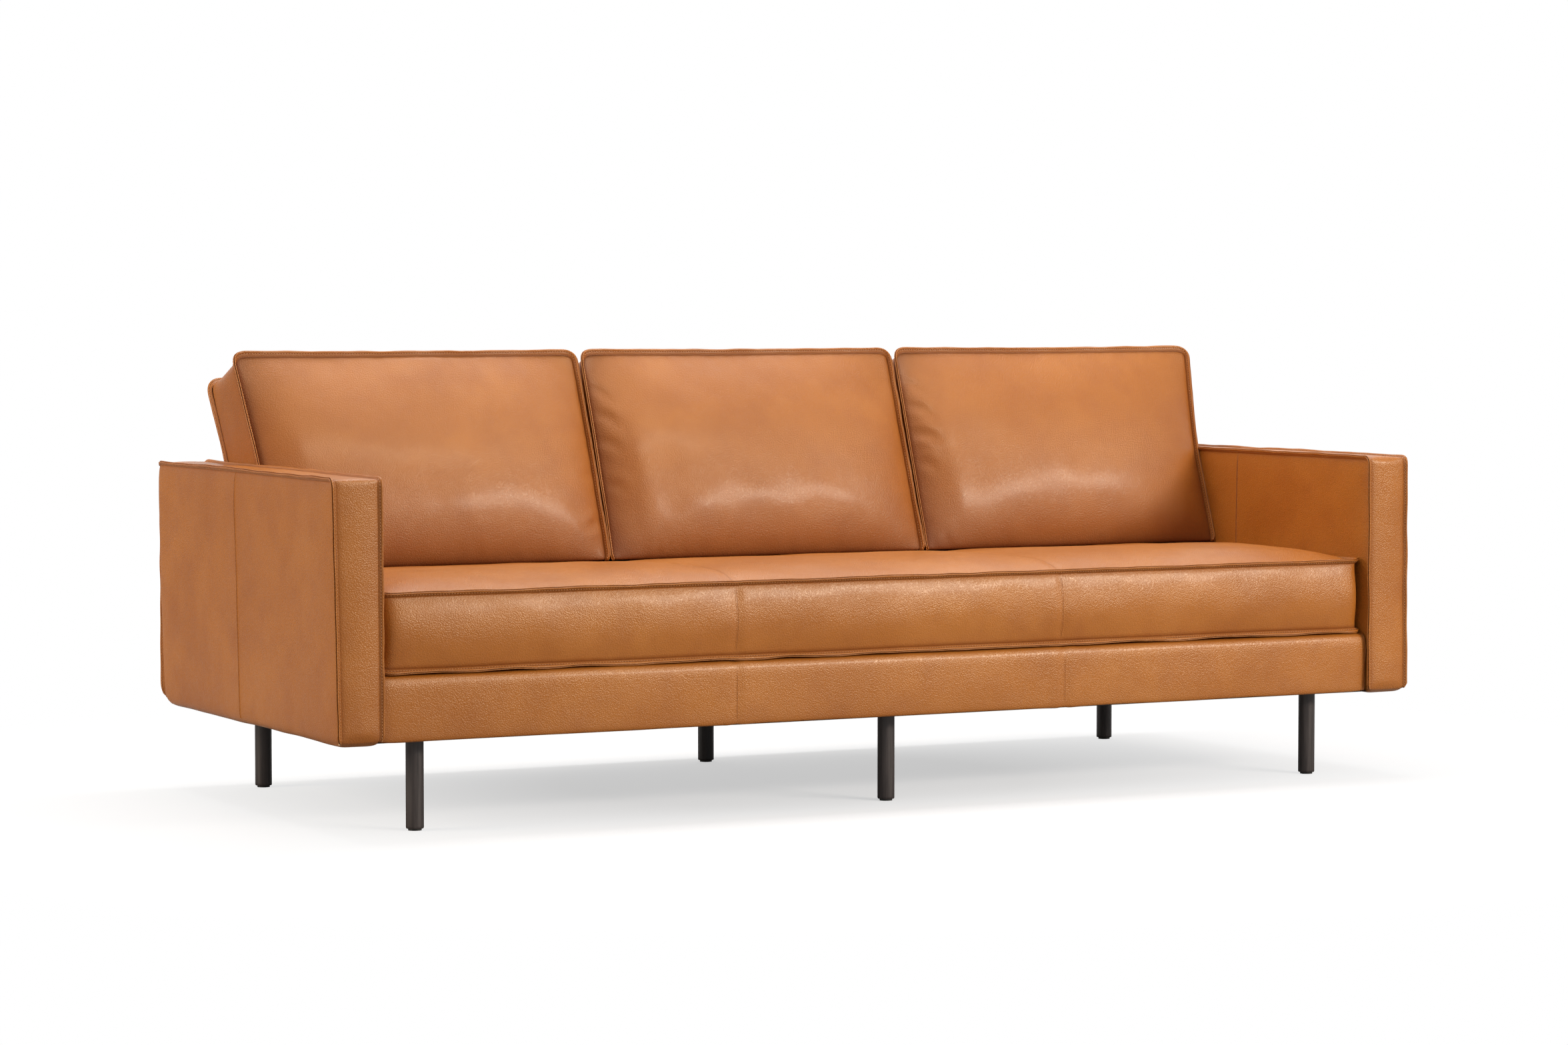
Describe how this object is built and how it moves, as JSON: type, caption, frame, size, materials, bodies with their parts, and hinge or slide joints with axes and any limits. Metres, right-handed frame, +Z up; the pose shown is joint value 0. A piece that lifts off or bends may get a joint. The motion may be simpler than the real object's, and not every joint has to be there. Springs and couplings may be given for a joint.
{
  "type": "three-seat sofa",
  "caption": "Track-arm leather sofa with a bench seat cushion, loose leaning back cushions and straight round dark wooden legs.",
  "frame": {"origin": "on the floor under the middle of the sofa's box", "axes": "+X to the right seen from the front, +Y towards the back, +Z up"},
  "size_m": [2.26, 0.9, 0.8314],
  "materials": {
    "leather": "satin pebbled full-grain",
    "timber": "sawn",
    "leg_wood": "dark stained satin",
    "foam": "open cell",
    "webbing": "woven",
    "deck_cloth": "woven",
    "dust_cloth": "spunbond",
    "fibreboard": "pressed",
    "steel": "plain",
    "zip_tape": "woven coil",
    "zip_metal": "antique",
    "glide_plastic": "matt"
  },
  "bodies": {
    "frame": {"back_posts": "timber", "back_straps": "webbing", "back_top_rail": "timber", "centre_stretcher": "timber", "dust_cover": "dust_cloth", "front_band_cover": "leather", "front_band_padding": "foam", "front_centre_leg": "leg_wood", "front_left_leg": "leg_wood", "front_rail": "timber", "front_right_leg": "leg_wood", "inside_back_cover": "leather", "inside_back_padding": "foam", "left_arm_edge_strip": "leather", "left_arm_foot_rail": "timber", "left_arm_front_post": "timber", "left_arm_inner_panel": "leather", "left_arm_outer_panel": "leather", "left_arm_padding": "foam", "left_arm_rear_post": "timber", "left_arm_top_rail": "timber", "leg_blocks": "timber", "leg_bolts": "steel", "leg_glides": "glide_plastic", "outside_back_liner": "fibreboard", "outside_back_panel": "leather", "rear_centre_leg": "leg_wood", "rear_left_leg": "leg_wood", "rear_rail": "timber", "rear_right_leg": "leg_wood", "right_arm_edge_strip": "leather", "right_arm_foot_rail": "timber", "right_arm_front_post": "timber", "right_arm_inner_panel": "leather", "right_arm_outer_panel": "leather", "right_arm_padding": "foam", "right_arm_rear_post": "timber", "right_arm_top_rail": "timber", "seat_deck_cloth": "deck_cloth", "seat_deck_pad": "foam", "seat_springs": "steel", "spring_clips": "steel", "spring_rail": "timber", "tee_nuts": "steel"},
    "seat_cushion": {"seat_cushion_cover": "leather", "seat_cushion_core": "foam", "seat_cushion_zip": "zip_tape"},
    "seat_cushion_slider": {"seat_cushion_zip_slider": "zip_metal"},
    "left_back_cushion": {"left_back_cushion_cover": "leather", "left_back_cushion_core": "foam", "left_back_cushion_zip": "zip_tape"},
    "left_back_cushion_slider": {"left_back_cushion_zip_slider": "zip_metal"},
    "middle_back_cushion": {"middle_back_cushion_cover": "leather", "middle_back_cushion_core": "foam", "middle_back_cushion_zip": "zip_tape"},
    "middle_back_cushion_slider": {"middle_back_cushion_zip_slider": "zip_metal"},
    "right_back_cushion": {"right_back_cushion_cover": "leather", "right_back_cushion_core": "foam", "right_back_cushion_zip": "zip_tape"},
    "right_back_cushion_slider": {"right_back_cushion_zip_slider": "zip_metal"}
  },
  "joints": [
    {"name": "seat_cushion_pull", "type": "slide", "parent": "frame", "child": "seat_cushion", "axis": [0, -1, 0], "range_m": [0, 0.6]},
    {"name": "left_back_cushion_lift", "type": "slide", "parent": "frame", "child": "left_back_cushion", "axis": [0, 0, 1], "range_m": [0, 0.45]},
    {"name": "middle_back_cushion_lift", "type": "slide", "parent": "frame", "child": "middle_back_cushion", "axis": [0, 0, 1], "range_m": [0, 0.45]},
    {"name": "right_back_cushion_lift", "type": "slide", "parent": "frame", "child": "right_back_cushion", "axis": [0, 0, 1], "range_m": [0, 0.45]},
    {"name": "seat_cushion_zip_pull", "type": "slide", "parent": "seat_cushion", "child": "seat_cushion_slider", "axis": [1, 0, 0], "range_m": [0, 1.94]},
    {"name": "left_back_cushion_zip_pull", "type": "slide", "parent": "left_back_cushion", "child": "left_back_cushion_slider", "axis": [1, 0, 0], "range_m": [0, 0.555]},
    {"name": "middle_back_cushion_zip_pull", "type": "slide", "parent": "middle_back_cushion", "child": "middle_back_cushion_slider", "axis": [1, 0, 0], "range_m": [0, 0.555]},
    {"name": "right_back_cushion_zip_pull", "type": "slide", "parent": "right_back_cushion", "child": "right_back_cushion_slider", "axis": [1, 0, 0], "range_m": [0, 0.555]}
  ]
}
